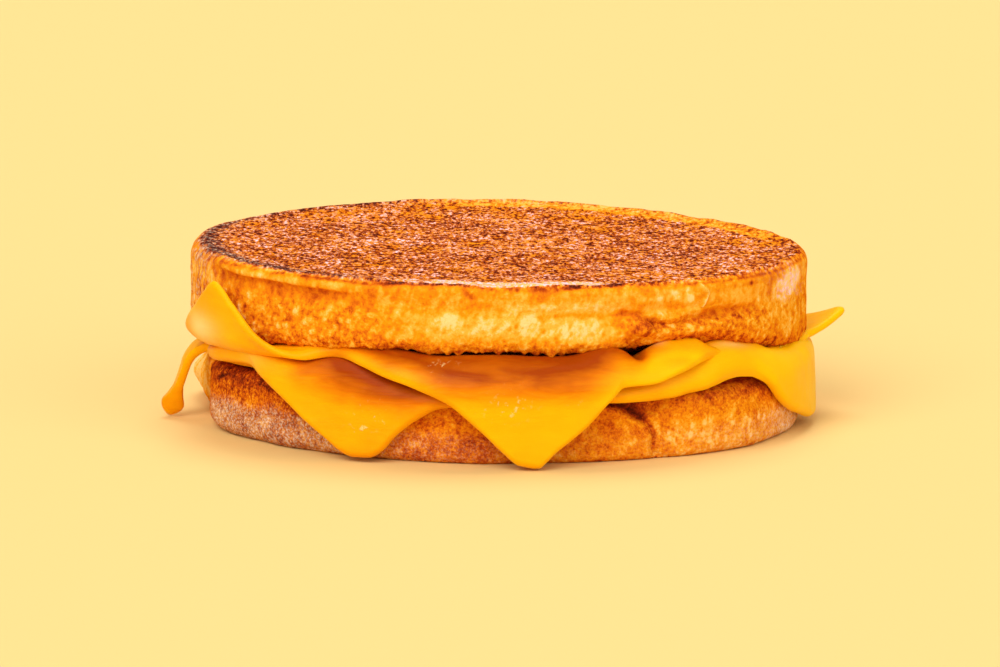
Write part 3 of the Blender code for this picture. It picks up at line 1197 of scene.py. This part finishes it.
@dataclass
class TopSlice(BreadSlice):
    """The upper slice of bread: a fried face, a buttery rim with a painted highlight along its front, and torn,
    crumbly sides.

    Its lower edge and the crumbs that hang from it are in millimetres.
    """

    shape: Bread = TOP_BREAD
    seed: int = 11
    face_way: Span = (0.44, 0.64)
    under_way: Span = (0.44, 0.62)
    swell_size: float = 13 * MM
    ledges: tuple[Ledge, ...] = (
        Ledge(
            ((204, 0.90), (208, 0.87), (215, 0.855), (222, 0.865), (232, 0.85), (245, 0.83)),
            ((200, 0), (206, 1), (230, 1), (246, 0), (360, 0)),
            0.55 * MM,
            0.60 * MM,
        ),
        Ledge(
            ((299, 0.56), (303, 0.50), (306, 0.47), (310, 0.54), (318, 0.60), (335, 0.56)),
            ((200, 0), (296, 0), (302, 0.9), (312, 1), (322, 0.8), (334, 0)),
            0.55 * MM,
            0.95 * MM,
        ),
    )
    swells: Marks = (
        Touch(312, 0.28, 9, 0.18, 0.7 * MM),
        Touch(188, 0.40, 17, 0.60, -0.55 * MM),
        Touch(193, 0.95, 12, 0.25, -0.5 * MM),
        Touch(298.5, 0.38, 2.6, 0.15, 2.2 * MM),
        Stroke(TOP_FOLD, 0.40, -0.6 * MM),
        Touch(311, 0.80, 3, 0.14, 0.5 * MM),
        Stroke(TOP_CRACK, 0.30, 0.45 * MM),
        Stroke(TOP_NOTCH, 0.45, -0.5 * MM),
    )
    tones_and_painted_light: Marks = (
        # The crack's stroke lightens it, a painted highlight on the butter drop; the notch's stroke darkens it,
        # painted shade.
        Stroke(TOP_CRACK, 0.25, -0.12),
        Stroke(TOP_NOTCH, 0.4, 0.2),
        Touch(335, 0.88, 9, 0.08, 0.14),
        Touch(211, 0.75, 3, 0.25, 0.06),
        Touch(240, 0.80, 12, 0.14, 0.05),
        Stroke(((278, 0.60), (285, 0.63), (292, 0.60), (296, 0.62)), 0.40, 0.12),
        Touch(298.5, 0.38, 2.8, 0.17, 0.30),
        # Painted shade along the fold.
        Stroke(TOP_FOLD, 0.40, 0.12),
        Touch(326.5, 0.86, 0.45, 0.035, 0.5),
        Touch(321.5, 0.46, 0.4, 0.03, 0.4),
    )
    cream: Marks = (
        Touch(253, 0.48, 3, 0.20, 0.5),
        Touch(259.5, 0.48, 4, 0.24, 0.9),
        Touch(267, 0.46, 4, 0.22, 0.7),
        Touch(276, 0.45, 6, 0.26, 1),
        Touch(287, 0.38, 6.5, 0.26, 1.1),
        Touch(283, 0.74, 9, 0.07, 0.4),
        Touch(302, 0.80, 4, 0.07, 0.5),
        Touch(309, 0.82, 3, 0.10, 0.7),
        Touch(322, 0.74, 7, 0.08, 0.4),
        Touch(342, 0.74, 5.5, 0.20, 1.8),
        Touch(337, 0.62, 3, 0.10, 1),
        Touch(341, 0.22, 5, 0.16, 0.7),
        # These pale streaks are painted glints on the buttery band, and the last one the butter drop's painted
        # highlight.
        Stroke(((299, 0.90), (299.6, 0.82)), 0.45, 0.6),
        Stroke(((302.6, 0.93), (303.2, 0.80)), 0.40, 0.7),
        Stroke(((306, 0.91), (307, 0.82)), 0.50, 0.7),
        Stroke(((309.4, 0.95), (310.4, 0.76)), 0.40, 0.6),
        Stroke(((312.6, 0.97), (314.3, 0.84), (313.2, 0.66)), 0.30, 0.9),
    )
    lower_edge: Stations = (
        (205, 0), (216, 0.4), (226, 0.9), (245, 1.7), (251.5, 2.1), (254.5, 1.5), (270, 1.8), (284, 1.7), (291, 1.1),
        (297.5, 2.2), (306, 2.1), (316, 1.7), (326, 0.2), (338, -1.9), (348, -3.2), (358, -3.0),
    )
    hanging_crumbs: Stations = (
        (255.7, 0.5), (259.7, 0.6), (261.6, 0.8), (270.1, 0.8), (275.4, 0.5), (278, 0.4), (280.9, 1.3), (246, 0.3),
        (265.5, 0.4),
    )
    crumbly_left: Stations = ((196, 0.3), (212, 1), (240, 1), (252, 0), (350, 0))
    crumbly_right: Stations = ((150, 0.6), (200, 0.5), (212, 0), (292, 0), (300, 1), (328, 1), (338, 0.5))
    brown_foot: Stations = (
        (230, 0.8), (252, 1.3), (270, 1.2), (284, 0.7), (300, 1.4), (308, 2.2), (330, 2.0), (345, 1.2),
    )
    charred_reach: Stations = ((140, 0.985), (190, 0.95), (230, 0.94), (250, 0.97))
    charred: Stations = (
        (100, 0.2), (135, 0.5), (160, 1), (215, 1), (232, 0.9), (247, 0.3), (262, 0), (340, 0),
    )
    golden_rim: Stations = ((5, 0), (22, 1), (90, 1), (112, 0))
    dark_rim: Stations = ((8, 0), (25, 1), (118, 1), (140, 0))
    # Where and how strong the painted highlight along the front rim is.
    painted_glare_along_rim: Stations = ((226, 0), (238, 0.1), (252, 0.5), (257, 1), (291, 1), (297, 0))
    painted_glare_floor: Stations = (
        (250, 0.8), (257, 0.6), (265.5, 0.1), (266.5, -0.32), (278, -0.1), (287, 0.3), (295, 0.75),
    )
    painted_glare_roof: Stations = ((250, 1.6), (258, 1.7), (266, 1.45), (280, 1.5), (289, 1.65), (296, 1.3))
    seam_rise: Stations = (
        (245, -0.73), (250, -0.4), (257, -0.2), (265, -0.4), (267, -0.7), (280, -0.6), (289, -0.15), (296, 0),
        (302, -0.4), (310, -0.73),
    )
    seam_depth: Stations = (
        (185, 0.5), (215, 1), (240, 1.4), (260, 1.1), (270, 0.8), (280, 1.4), (292, 1.8), (301, 1), (345, 1),
    )
    lean: Field = field(init=False)
    streaks: Field = field(init=False)
    holes: Field = field(init=False)
    popped: Field = field(init=False)
    left: Field = field(init=False)
    right: Field = field(init=False)
    low: Field = field(init=False)
    butter: Field = field(init=False)

    def build(self) -> bpy.types.Object:
        """Shape, roughen and colour the slice.

        Returns:
            The finished object.
        """
        self.settle()
        self.scatter()
        self.roughen()
        self.hang()
        self.paint_all()
        return self.finish(BreadFinish("toasted_top_slice", 0.88 * MM, 1.7 * MM, 1.25, 0.5, (1.2, 0.58, 1.1)).make())

    def scatter(self) -> None:
        """Set out the streaks, holes, popped crumbs and crumbly parts of the wall."""
        self.lean = self.even * (1.0, 1.0, 0.35) + self.even[:, 2:] * (-0.35, 0.0, 0.0)
        self.streaks = self.grain.waves(self.lean, 1.5 * MM, 3, 0.6)
        self.holes = self.grain.specks(self.even, 2.0 * MM, (0.12, 0.40), (0.60, 0.75))
        self.popped = Grain(12).specks(self.even, 1.9 * MM, (0.20, 0.50), (0.30, 0.5))
        self.left = self.around(self.crumbly_left) * self.below(0.55, 0.75)
        self.right = self.around(self.crumbly_right) * self.below(0.42, 0.62)
        self.low = self.below(0.06, 0.24)

    def roughen(self) -> None:
        """Give the wall its crumb and folds, the face its grain and the rim its lip."""
        waves, wall, low = self.grain.waves, self.wall, self.low
        fuzz = np.clip(np.maximum(np.maximum(0.5 * self.left, self.right), low), 0.0, 1.0)
        relief = 0.40 * self.swell * np.maximum(wall, self.under)
        relief += wall * fuzz * ((0.28 + 0.25 * low) * self.crumb - 0.25 * self.holes)
        smoother = 0.08 * self.streaks - 0.10 * self.holes * (self.height < 0.7)
        relief += wall * (0.30 * self.left * self.popped + (1.0 - fuzz) * smoother)
        relief += self.face * (0.12 * waves(self.even, 1.8 * MM, 2) + 0.12 * waves(self.even, 9.0 * MM, 1))
        lip = bell(self.reach - 0.975, 0.016) * (0.6 + 0.4 * ease(self.way, 0.5, 0.64))
        uneven = 1.0 + 0.8 * self.grain.wave(self.even, 6.0 * MM)
        relief += 0.35 * lip * ease(self.way, 0.40, 0.60) * uneven
        ledges = sum(ledge.at(self.azimuth, self.height) for ledge in self.ledges)
        self.push(relief * MM + (self.marks(self.swells) + ledges) * wall)

    def hang(self) -> None:
        """Draw the lower edge up and down, and let crumbs hang from it."""
        edge = self.below(0.02, 0.20) * ease(self.reach, 0.90, 0.97)
        rough = self.grain.waves(self.place * (1.0, 1.0, 0.0), 1.6 * MM, 2, 0.7)
        drop = 0.10 + 1.1 * np.maximum(rough, 0.0) ** 1.3
        for place, length in self.hanging_crumbs:
            drop += length * bell(turn(self.azimuth, place), 0.5 + 0.3 * (length > 1.0))
        whole = self.below(0.0, 0.55) * ease(self.reach, 0.80, 0.95)
        self.place[:, 2] += (follow(self.azimuth, self.lower_edge) * whole - drop * edge) * MM
        self.write(self.place)

    def wall_tone(self) -> Field:
        """How brown the wall is.

        Returns:
            The tone of each vertex, 0 for cream and 1 for burnt.
        """
        waves, streaks, crumb, low = self.grain.waves, self.streaks, self.crumb, self.low
        left, right, popped = self.left, self.right, self.popped
        # Cream patches of crumb, and the painted glints listed with them.
        cream = ease(self.marks(self.cream) * (0.8 + 0.6 * streaks) + 0.12 * crumb, 0.10, 0.85)
        end = bell(turn(self.azimuth, 196.0), 9.0)
        tone = 0.31 + (0.20 + 0.25 * end) * streaks + 0.10 * waves(self.even, 6.0 * MM, 2)
        tone += 0.08 * right * (0.5 + 1.6 * crumb) + left * (0.05 - 0.24 * popped)
        tone -= 0.18 * right * popped + 0.03 * self.butter
        tone += cream * (0.30 * waves(self.lean, 1.1 * MM, 2, 0.7) - 0.24) * (1.0 - 0.6 * low)
        tone += 0.09 * low * (0.8 + 1.2 * crumb) * self.around(self.brown_foot)
        # Painted light on the ledges: each lip is lightened and the cut under it darkened as painted shade.
        parts = [ledge.parts(self.azimuth, self.height) for ledge in self.ledges]
        lip_light, cut_shade = (sum(part[index] for part in parts) for index in (0, 1))
        # Pores are also darkened, painted shade in them.
        tone += 0.08 * self.holes * self.wall * (1.0 - left) + 0.18 * cut_shade - 0.06 * lip_light
        return tone + self.marks(self.tones_and_painted_light)

    def paint_all(self) -> None:
        """Colour the wall, the fried face, the painted highlight along the front rim and the seam under it."""
        azimuth, height, reach, crumb = self.azimuth, self.height, self.reach, self.crumb
        face, wall, under, waves = self.face, self.wall, self.under, self.grain.waves
        self.butter = ease(height, 0.62, 0.76) * self.below(0.90, 0.97)
        dusty_end = bell(turn(azimuth, 341.0 - 12.0 * (height - 0.7)), 6.5) * ease(height, 0.42, 0.60)
        wall_dust = 1.3 * dusty_end * ease(self.streaks, -0.4, 0.1)
        grey = 0.7 * bell(turn(azimuth, 190.0), 9.0) * ease(self.streaks, -0.3, 0.3)

        patches = waves(self.even, 11.0 * MM, 3)
        clumps = Grain(14).waves(self.even, 4.2 * MM, 2, 0.7)
        char = bell(reach - self.around(self.charred_reach), 0.045) * self.around(self.charred)
        golden = ease(reach + 0.03 * patches, 0.86, 0.90) * self.around(self.golden_rim)
        warm = bell(turn(azimuth, 95.0), 45.0) * ease(reach, 0.45, 0.85)
        outline = bell(self.way - 0.58, 0.035) * self.around(self.dark_rim)
        fried = 0.59 + 0.25 * patches + 0.14 * clumps
        fried += 0.30 * char - 0.27 * golden - 0.10 * warm + 0.36 * outline
        # Share of dusty speckle on the face; its light specks are painted glints.
        face_dust_and_glint = 0.44 + 0.40 * patches - 0.80 * clumps + 0.3 * char - 0.5 * golden - 0.3 * warm
        face_dust_and_glint = np.clip(face_dust_and_glint, 0.0, 1.0)

        # Painted highlight: a pale pink-white band along the front rim, where light glints off the butter.
        glare_share = self.around(self.painted_glare_along_rim)
        rise = 9.4 * (1.0 - reach) + 3.9 * (np.minimum(self.way, 0.63) - 0.63)
        roof = self.around(self.painted_glare_roof) + 0.2 * waves(self.even, 2.2 * MM, 3)
        painted_glare = ease(rise - self.around(self.painted_glare_floor) + 0.1 * crumb, -0.08, 0.08)
        painted_glare *= ease(roof - rise, -0.08, 0.08) * glare_share
        painted_glare *= ease(Grain(15).waves(self.even * (0.6, 0.6, 1.0), 1.7 * MM, 3, 0.7), -0.55, -0.15)
        seam = bell(rise - self.around(self.seam_rise) - 0.2 * crumb, 0.22 + 0.16 * glare_share)
        seam *= np.clip(0.6 + 1.2 * crumb, 0.0, 1.2) * self.around(self.seam_depth)

        tone = blend(self.wall_tone(), fried, face) + 0.34 * seam * (1.0 - painted_glare)
        # The painted highlight makes the tone pale.
        tone = blend(tone, 0.02 + 0.4 * np.maximum(waves(self.even, 1.2 * MM, 2), 0.0), painted_glare)
        speckled = 0.08 + 0.10 * self.left + 0.14 * np.maximum(self.right, self.low)
        speckled = speckled * wall + face * (0.78 - 0.44 * golden) * (1.0 - 0.6 * painted_glare)
        self.paint("tone", blend(tone, 0.50, under))
        # Dusty speckle, and full strength under the painted highlight.
        self.paint("pink", blend(blend(wall_dust, face_dust_and_glint, face), 1.0, painted_glare))
        self.paint("ash", grey * wall + 0.9 * char * face)
        self.paint("fleck", speckled + 0.15 * under)
        self.paint("wet", 0.35 * painted_glare + 0.06 * self.butter * wall)


@dataclass
class BottomSlice(BreadSlice):
    """The lower slice of bread, browned at its sides and dusty near its foot."""

    swells: Marks = (
        Stroke(
            ((292, 0.90), (296.2, 0.75), (300.2, 0.56), (301.5, 0.35), (300.8, 0.21), (301.8, 0.05)), 0.55, -0.9 * MM
        ),
        Stroke(((290, 0.84), (294.5, 0.70), (298.5, 0.50), (299.7, 0.34)), 0.8, 0.55 * MM),
        Touch(299.5, 0.86, 3.6, 0.16, -1 * MM),
        Stroke(LEFT_CRACK, 0.35, -0.5 * MM),
        Stroke(SHORT_CRACK, 0.3, -0.4 * MM),
        Stroke(PALE_RIDGE, 0.35, 0.25 * MM),
        Stroke(((308, 0.86), (308.5, 0.70)), 0.4, -0.35 * MM),
        Stroke(((311.5, 0.95), (313.5, 0.80), (315, 0.70)), 0.4, -0.35 * MM),
    )
    # Tone marks: the wedge-shaped cleft, the two cracks and the two short creases are darkened, painted shade in
    # them.
    tones_and_painted_light: Marks = (
        Stroke(((293, 0.90), (296.8, 0.76), (300.6, 0.56), (301.6, 0.35), (301.2, 0.1)), 0.36, 0.24),
        Stroke(((291, 0.92), (296, 0.84), (300, 0.64)), 0.9, 0.30),
        Touch(298.5, 0.88, 3.4, 0.16, 0.26),
        Stroke(LEFT_CRACK, 0.3, 0.3),
        Stroke(SHORT_CRACK, 0.3, 0.25),
        Stroke(PALE_RIDGE, 0.3, -0.2),
        Stroke(((308, 0.88), (308.5, 0.70)), 0.3, 0.12),
        Stroke(((311.5, 0.97), (313.5, 0.80), (315, 0.70)), 0.3, 0.14),
        Stroke(((193.5, 0.1), (192.5, 0.9)), 0.7, 0.25),
        Touch(172, 0.16, 14, 0.12, 0.4),
    )
    browned: Stations = (
        (150, 0.15), (189, 0.15), (196, 0.50), (228, 0.52), (248, 0.46), (262, 0.48), (290, 0.38), (303, 0.34),
        (318, 0.33), (332, 0.34), (345, 0.30), (350, 0.30),
    )
    browned_top: Stations = (
        (190, 0.3), (200, 1), (225, 1), (250, 0.3), (262, 0.2), (292, 0.4), (310, 0.8), (326, 1), (340, 0.8),
    )
    pale_foot: Stations = ((195, 1), (232, 0.9), (262, -0.4), (290, 0), (320, 0.5), (340, 1))
    flaky: Stations = ((195, 0.2), (240, 0.35), (300, 0.4), (306, 1), (322, 1), (338, 0.6))
    dusty: Stations = (
        (180, 0), (192, 0.1), (198, 0.9), (228, 0.8), (245, 0.35), (262, 0.25), (290, 0.12), (312, 0.12), (332, 0.5),
        (342, 0.9),
    )
    ashen: Stations = (
        (180, 0), (194, 0.3), (200, 0.9), (226, 0.8), (245, 0.25), (290, 0), (328, 0.1), (340, 0.7), (352, 0.3),
    )

    def build(self) -> bpy.types.Object:
        """Shape, roughen and colour the slice.

        Returns:
            The finished object.
        """
        self.settle()
        holes = self.grain.specks(self.even, 1.8 * MM, (0.10, 0.40), (0.6, 0.8))
        relief = self.wall * (0.16 * self.crumb + 0.45 * self.swell - 0.18 * holes)
        self.push(relief * MM + self.marks(self.swells) * self.wall)

        waves, height, shown = self.grain.waves, self.height, 1.0 - self.under
        upright = waves(self.even * (1.0, 1.0, 0.4), 1.3 * MM, 2, 0.7)
        tone = self.around(self.browned) + 0.07 * self.crumb + 0.10 * upright + 0.08 * waves(self.even, 7.0 * MM, 2)
        tone += 0.22 * ease(height, 0.55, 0.95) * self.around(self.browned_top)
        tone -= 0.10 * self.below(0.25, 0.60) * self.around(self.pale_foot)
        flakes = Grain(24).specks(self.even * (1.0, 1.0, 0.6), 1.25 * MM, (0.18, 0.48), (0.35, 0.5))
        tone += self.marks(self.tones_and_painted_light) - 0.30 * flakes * self.below(0.45, 0.70) * self.around(self.flaky)
        dust = (1.0 - ease(height + 0.12 * self.swell, 0.34, 0.60)) * self.around(self.dusty)
        ash = self.around(self.ashen)
        ash_line = height + 0.10 * self.swell + 0.05 * upright
        self.paint("tone", blend(tone, 0.46, self.under))
        self.paint("pink", blend(0.6 * dust, 0.35, self.under))
        self.paint("ash", ash * (1.0 - ease(ash_line, 0.36, 0.56)) * shown)
        self.paint("fleck", blend(0.17 + 0.10 * ash, 0.6, self.under))
        self.paint("wet", 0.03 * ease(height, 0.6, 0.9))
        return self.finish(BreadFinish("toasted_bottom_slice", 0.50 * MM, 1.9 * MM, 1.3, 0.4).make())


@dataclass
class MeltedSlice(Piece):
    """A slice of cheese, melted over the edge of the bread.

    Shade is how many millimetres past the edge the painted shade under the layers above reaches, dim how
    dark that painted shade makes the cheese there, and rest how strong its own orange is elsewhere.
    """

    columns: int = 700
    rows: Rows = CHEESE_ROWS
    shape: Cheese = LOWER_CHEESE
    seed: int = 31
    # Painted shade under the upper cheese's edge and the bread above.
    shade: Stations = (
        (170, 0.5), (222, 1.9), (230, 5.2), (238, 7.2), (252, 7.5), (265, 6.1), (290, 1), (350, 0.5),
    )
    dim: Stations = (
        (205, 0.15), (222, 0.25), (231, 1), (240, 1.25), (250, 1.1), (265, 0.7), (290, 0.3), (310, 0.15),
    )
    rest: Stations = ((190, 0.22), (225, 0.20), (250, 0.24), (292, 0.24), (315, 0.10), (335, 0), (360, 0))
    puffs: tuple[Puff, ...] = (
        Puff(214, 0.4, 12, 2.8, 2.6 * MM),
        Puff(237, 1.2, 9, 2.6, 3.6 * MM),
        Puff(303, 1, 6, 2.6, 1.8 * MM),
        Puff(316, -1.6, 9, 3.4, 5.2 * MM),
        Puff(329, -1.6, 8, 3.4, 2.8 * MM),
        Puff(332.5, -2.4, 1.8, 1.4, -2.4 * MM),
    )
    # Tone spots; the last one paints shade into the dark nook at the right.
    tones_and_painted_light: tuple[Puff, ...] = (
        Puff(184, 14, 5, 4, 0.15), Puff(242, 14, 6, 2, 0.14), Puff(332.5, -2.2, 2.2, 1.6, 1.2),
    )
    # Painted highlights: pale spots where light glints off the cheese.
    painted_highlights: tuple[Puff, ...] = (Puff(320, -0.4, 4, 0.5, 0.35), Puff(217, 2, 4, 1, 0.12))
    # Bubbles with painted glints on them.
    glinting_blisters: tuple[Puff, ...] = (Puff(244, 6.5, 3, 1.6, 1), Puff(242, 9, 2, 0.9, 0.9))

    def build(self) -> bpy.types.Object:
        """Shape, ripple and colour the slice.

        Returns:
            The finished object.
        """
        self.start()
        even, past, short = self.shape.surface(self.azimuth, self.way)
        self.write(even)
        waves, azimuth = Grain(self.seed).waves, self.azimuth
        ripple = 0.22 * waves(even, 10.0 * MM, 2) + 0.05 * waves(even, 2.5 * MM, 2)
        self.push((ripple + 0.10) * MM)
        self.place[:, 2] += together(self.puffs, azimuth, past) * np.where(self.way > 0.0, 1.0, 0.6)
        self.write(self.place)
        # Painted shade: darker orange-brown close under the layers above, where they shade the cheese.
        shade = around(azimuth, self.shade) * MM
        painted_shade = (1.0 - ease(past, 0.05 * shade - 1.0 * MM, shade)) * around(azimuth, self.dim)
        deep = around(azimuth, self.rest) + painted_shade - 0.06 * (1.0 - ease(short, 0.0, 1.0 * MM))
        # Tone spots, among them painted shade in nooks and creases.
        deep += together(self.tones_and_painted_light, azimuth, past)
        self.paint("deep", deep + 0.06 * waves(even, 5.0 * MM, 2))
        # Paleness: painted highlights.
        self.paint("pale", together(self.painted_highlights, azimuth, past))
        # Bubbles, each with a painted glint.
        self.paint("blister", together(self.glinting_blisters, azimuth, past))
        return self.finish(CheeseFinish(self.name + "_finish").make())


@dataclass
class MeltedTopSlice(MeltedSlice):
    """The upper slice of cheese, whose large flap hangs at the front."""

    shape: Cheese = UPPER_CHEESE
    seed: int = 41
    # Painted shade under the front of the top slice of bread.
    shade: Stations = (
        (200, 0.4), (238, 0.6), (250, 3.4), (262, 7.4), (284, 7.6), (294, 3.0), (301, 0.5), (340, 0.4),
    )
    dim: Stations = (
        (200, 0.3), (236, 0.4), (248, 0.9), (262, 1), (286, 1), (296, 0.8), (302, 0.25), (340, 0.2),
    )
    rest: Stations = ((200, 0.22), (215, 0.24), (245, 0.22), (262, 0.17), (290, 0.11), (315, 0), (360, 0))
    puffs: tuple[Puff, ...] = (
        Puff(304, -2.8, 6, 3.8, 4.2 * MM),
        Puff(310, -2.8, 3, 2.4, 1.4 * MM),
        Puff(314, -3.4, 7, 3.5, 2.6 * MM),
        Puff(233, -2.5, 14, 3.5, 2.2 * MM),
        Puff(247, -2.2, 7, 3, 1 * MM),
        Puff(270, -1.8, 22, 3.2, 2.6 * MM),
        Puff(292, -1.8, 6, 3.2, 2.8 * MM),
        Puff(297.3, -2.2, 1.3, 1.6, -1.9 * MM),
    )
    # Painted shade in the fold's crease and in the dark hole under the bread.
    tones_and_painted_light: tuple[Puff, ...] = (Puff(306, 0.9, 4, 0.7, 0.20), Puff(297.3, -2, 1.8, 1.7, 0.9))
    # Painted highlights: pale spots where light glints off the cheese.
    painted_highlights: tuple[Puff, ...] = (Puff(204, 4.5, 5, 2.5, 0.8), Puff(302.5, -2.6, 1.2, 0.8, 0.5))
    # Bubbles with painted glints on them.
    glinting_blisters: tuple[Puff, ...] = (
        Puff(258, 1, 2.5, 1, 0.8), Puff(271, 6, 3.5, 2, 0.9), Puff(283.5, 5.5, 1.5, 0.8, 0.7),
    )


# ---- studio


@dataclass(frozen=True)
class Studio:
    """A pale floor, soft light and the camera."""

    floor_size: float = 12.0
    floor_colour: Colour = (0.86, 0.62, 0.24)
    aim: Colour = (-0.55 * MM, 0.0, 14.7 * MM)
    distance: float = 1.05
    elevation: float = 10.2
    lens: float = 205.6
    sky_colour: Colour = (1.0, 0.84, 0.55)
    sky_strength: float = 0.45
    lamps: tuple[tuple[str, float, float, float, float], ...] = (
        ("key", 1.85, 240.0, 42.0, 45.0),
        ("fill", 0.8, 312.0, 30.0, 50.0),
        ("top", 1.3, 85.0, 68.0, 35.0),
    )

    def floor(self) -> None:
        """Lay the floor."""
        sheet = bmesh.new()
        bmesh.ops.create_grid(sheet, x_segments=8, y_segments=8, size=self.floor_size / 2)
        mesh = bpy.data.meshes.new("floor")
        sheet.to_mesh(mesh)
        sheet.free()
        graph = Graph("floor_paper")
        mesh.materials.append(graph.close({"Base Color": (*self.floor_colour, 1.0), "Roughness": 0.9}))
        floor = bpy.data.objects.new("floor", mesh)
        bpy.context.scene.collection.objects.link(floor)

    def light(self, name: str, strength: float, azimuth: float, elevation: float, spread: float) -> None:
        """Set a soft light.

        Args:
            name: The light's name.
            strength: Power per square metre.
            azimuth: Direction from which it shines.
            elevation: Its height above the horizon.
            spread: Width of its source as seen from the object.
        """
        lamp = bpy.data.lights.new(name, "SUN")
        lamp.energy = strength
        lamp.angle = math.radians(spread)
        source = bpy.data.objects.new(name, lamp)
        level, turned = math.radians(elevation), math.radians(azimuth)
        towards = Vector(
            (math.cos(level) * math.cos(turned), math.cos(level) * math.sin(turned), math.sin(level))
        )
        source.rotation_mode = "QUATERNION"
        source.rotation_quaternion = towards.to_track_quat("Z", "Y")
        bpy.context.scene.collection.objects.link(source)

    def sky(self) -> None:
        """Light the surroundings evenly."""
        world = bpy.data.worlds.new("studio")
        world.use_nodes = True
        background = world.node_tree.nodes["Background"]
        background.inputs["Color"].default_value = (*self.sky_colour, 1.0)
        background.inputs["Strength"].default_value = self.sky_strength
        bpy.context.scene.world = world

    def camera(self) -> None:
        """Set up the camera in front of the sandwich, a little above it."""
        eye = bpy.data.cameras.new("camera")
        eye.lens = self.lens
        eye.sensor_width = 36.0
        eye.clip_start, eye.clip_end = 0.05, 50.0
        holder = bpy.data.objects.new("camera", eye)
        level = math.radians(self.elevation)
        back = Vector((0.0, -math.cos(level), math.sin(level)))
        holder.location = Vector(self.aim) + back * self.distance
        holder.rotation_mode = "QUATERNION"
        holder.rotation_quaternion = back.to_track_quat("Z", "Y")
        bpy.context.scene.collection.objects.link(holder)
        bpy.context.scene.camera = holder

    def build(self) -> None:
        """Set up the whole studio."""
        bpy.context.scene.view_settings.view_transform = "Standard"
        self.floor()
        self.sky()
        for lamp in self.lamps:
            self.light(*lamp)
        self.camera()
        LOG.info("studio ready")


def main() -> None:
    """Build the sandwich from the bottom slice upwards, then the studio round it."""
    logging.basicConfig(level=logging.INFO)
    BottomSlice("bottom_slice", "bottom_bread", "bread_crumb").build()
    MeltedSlice("lower_cheese", "cheese_lower", "cheese_underneath").build()
    MeltedTopSlice("upper_cheese", "cheese_upper", "cheese_on_top").build()
    TopSlice("top_slice", "top_bread", "toasted_bread").build()
    Studio().build()


if __name__ == "__main__":
    main()
